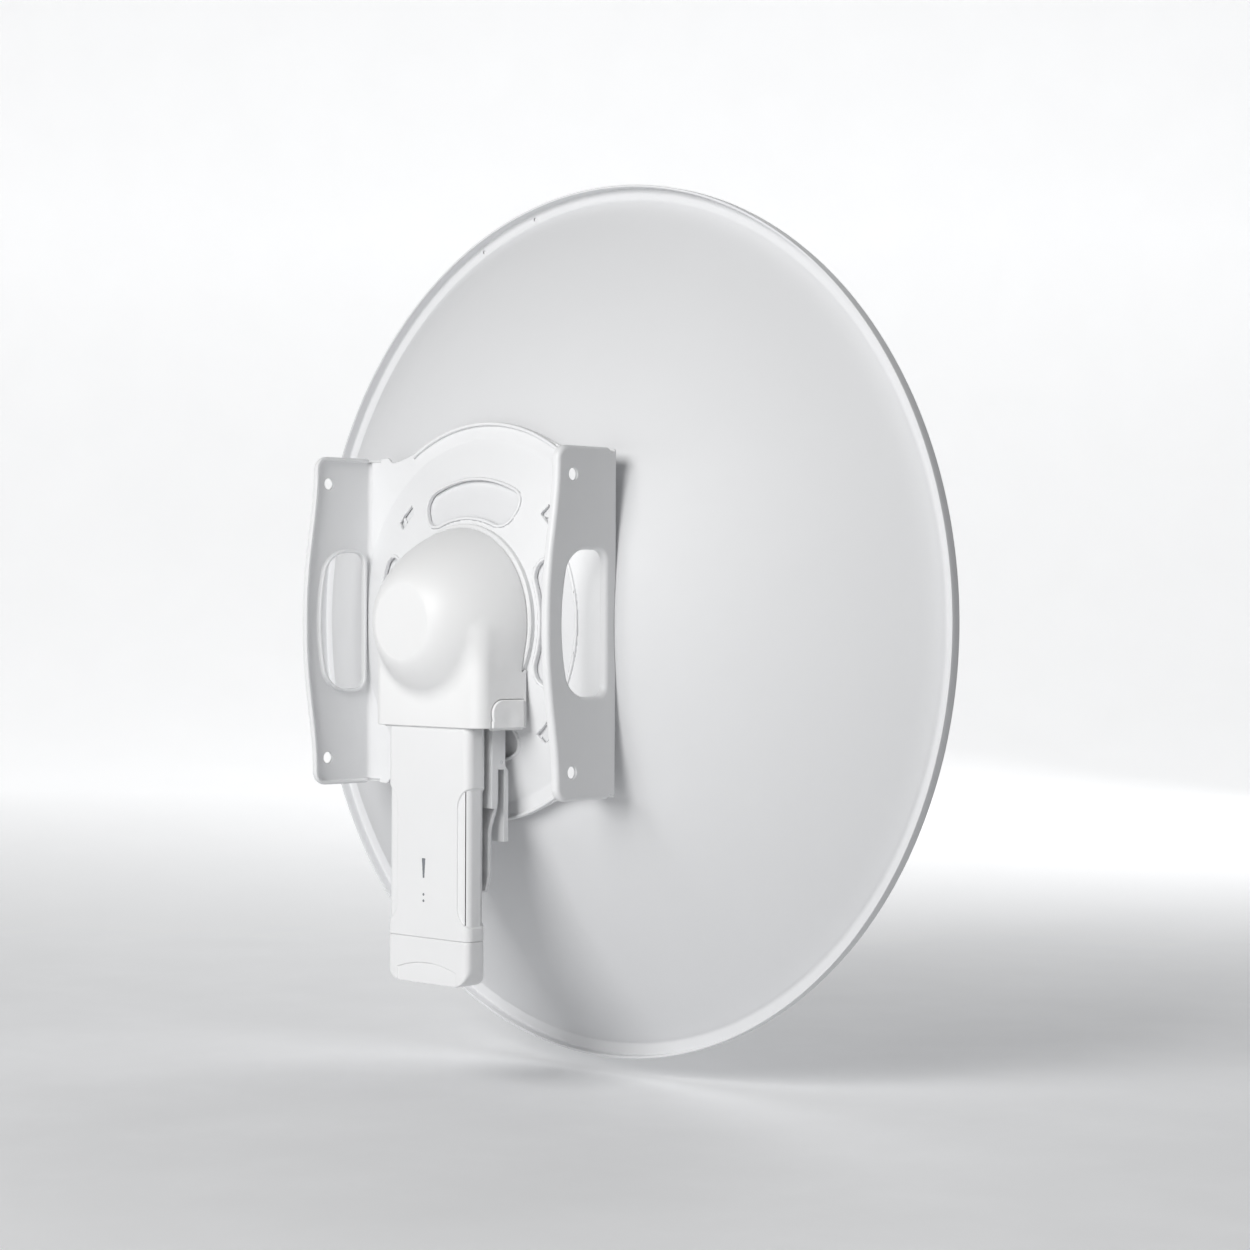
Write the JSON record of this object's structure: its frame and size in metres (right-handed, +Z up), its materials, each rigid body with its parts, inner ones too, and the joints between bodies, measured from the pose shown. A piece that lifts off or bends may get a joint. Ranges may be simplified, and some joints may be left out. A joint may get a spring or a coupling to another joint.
{
  "type": "outdoor wireless bridge",
  "caption": "Outdoor point-to-point wireless bridge: round parabolic reflector on a flanged steel bracket, tube feed with splash plate, domed shroud and hanging radio.",
  "frame": {"origin": "on the boresight, at the centre of the four flange bolt holes, where the pole bracket holds the unit", "axes": "+Z up, +Y rearward along the boresight (the dish faces -Y), +X to the right of someone facing the dish"},
  "size_m": [0.65, 0.2113, 0.65],
  "materials": {
    "bracket_paint": "satin powder coat",
    "reflector_paint": "satin powder coat",
    "shroud_plastic": "fine moulded texture",
    "radio_plastic": "fine moulded texture",
    "feed_plastic": "satin moulded",
    "white_plastic": "satin moulded",
    "hanger_plastic": "satin moulded",
    "dark_plastic": "matte",
    "black_rubber": "matte",
    "grey_rubber": "matte",
    "zinc_steel": "bright zinc",
    "cast_alloy": "as cast",
    "gold_brass": "plated",
    "cable_jacket": "matte",
    "circuit_board": "solder mask",
    "tin_shield": "tin plate",
    "jack_metal": "nickel plate",
    "light_pipe": "smoked translucent"
  },
  "bodies": {
    "bracket": {"mounting_bracket": "bracket_paint", "feed_hub": "white_plastic", "hub_gasket": "black_rubber", "base_cap": "feed_plastic", "feed_rear_ring": "white_plastic", "ring_screws": "zinc_steel", "feed_tube": "feed_plastic", "waveguide_core": "cast_alloy", "feed_disc": "feed_plastic", "feed_disc_ribs": "feed_plastic", "rf_block": "cast_alloy", "rf_block_screws": "zinc_steel", "feed_rf_jacks": "gold_brass", "jumper_cable_left": "cable_jacket", "jumper_cable_right": "cable_jacket", "jumper_plugs": "gold_brass", "radio_hanger": "hanger_plastic", "hanger_screws": "zinc_steel", "latch_pin": "zinc_steel"},
    "reflector": {"reflector": "reflector_paint"},
    "latch": {"latch_arm": "hanger_plastic"},
    "shroud": {"shroud": "shroud_plastic"},
    "release_tab_left": {"release_tab_left": "shroud_plastic"},
    "release_tab_right": {"release_tab_right": "shroud_plastic"},
    "radio": {"radio_housing": "radio_plastic", "radio_front_cover": "radio_plastic", "cover_screws": "zinc_steel", "radio_pcb": "circuit_board", "rf_shield": "tin_shield", "radio_rf_jacks": "gold_brass", "ethernet_jack": "jack_metal", "led_light_pipes": "light_pipe"},
    "reset_button": {"reset_button": "dark_plastic"},
    "port_cover": {"port_cover": "radio_plastic", "cable_gland": "grey_rubber"}
  },
  "joints": [
    {"name": "reflector_twist", "type": "hinge", "parent": "bracket", "child": "reflector", "pos_m": [0, 0, 0], "axis": [0, 1, 0], "range_deg": [0, 7.4]},
    {"name": "shroud_lift_off", "type": "slide", "parent": "bracket", "child": "shroud", "axis": [0, 1, 0], "range_m": [0, 0.12]},
    {"name": "release_tab_right_press", "type": "slide", "parent": "shroud", "child": "release_tab_right", "axis": [-0.9767, -0.2146, 0], "range_m": [0, 0.002], "stiffness_N_per_m": 800},
    {"name": "release_tab_left_press", "type": "slide", "parent": "shroud", "child": "release_tab_left", "axis": [0.9767, -0.2146, 0], "range_m": [0, 0.002], "stiffness_N_per_m": 800},
    {"name": "latch_flex", "type": "hinge", "parent": "bracket", "child": "latch", "pos_m": [0, -0.016, -0.098], "axis": [-1, 0, 0], "range_deg": [0, 2], "stiffness_Nm_per_rad": 1.5},
    {"name": "radio_slide", "type": "slide", "parent": "bracket", "child": "radio", "axis": [0, 0, -1], "range_m": [0, 0.08]},
    {"name": "reset_press", "type": "slide", "parent": "radio", "child": "reset_button", "axis": [0, 0, 1], "range_m": [0, 0.0008], "stiffness_N_per_m": 600},
    {"name": "port_cover_slide", "type": "slide", "parent": "radio", "child": "port_cover", "axis": [0, 0, -1], "range_m": [0, 0.04]}
  ]
}
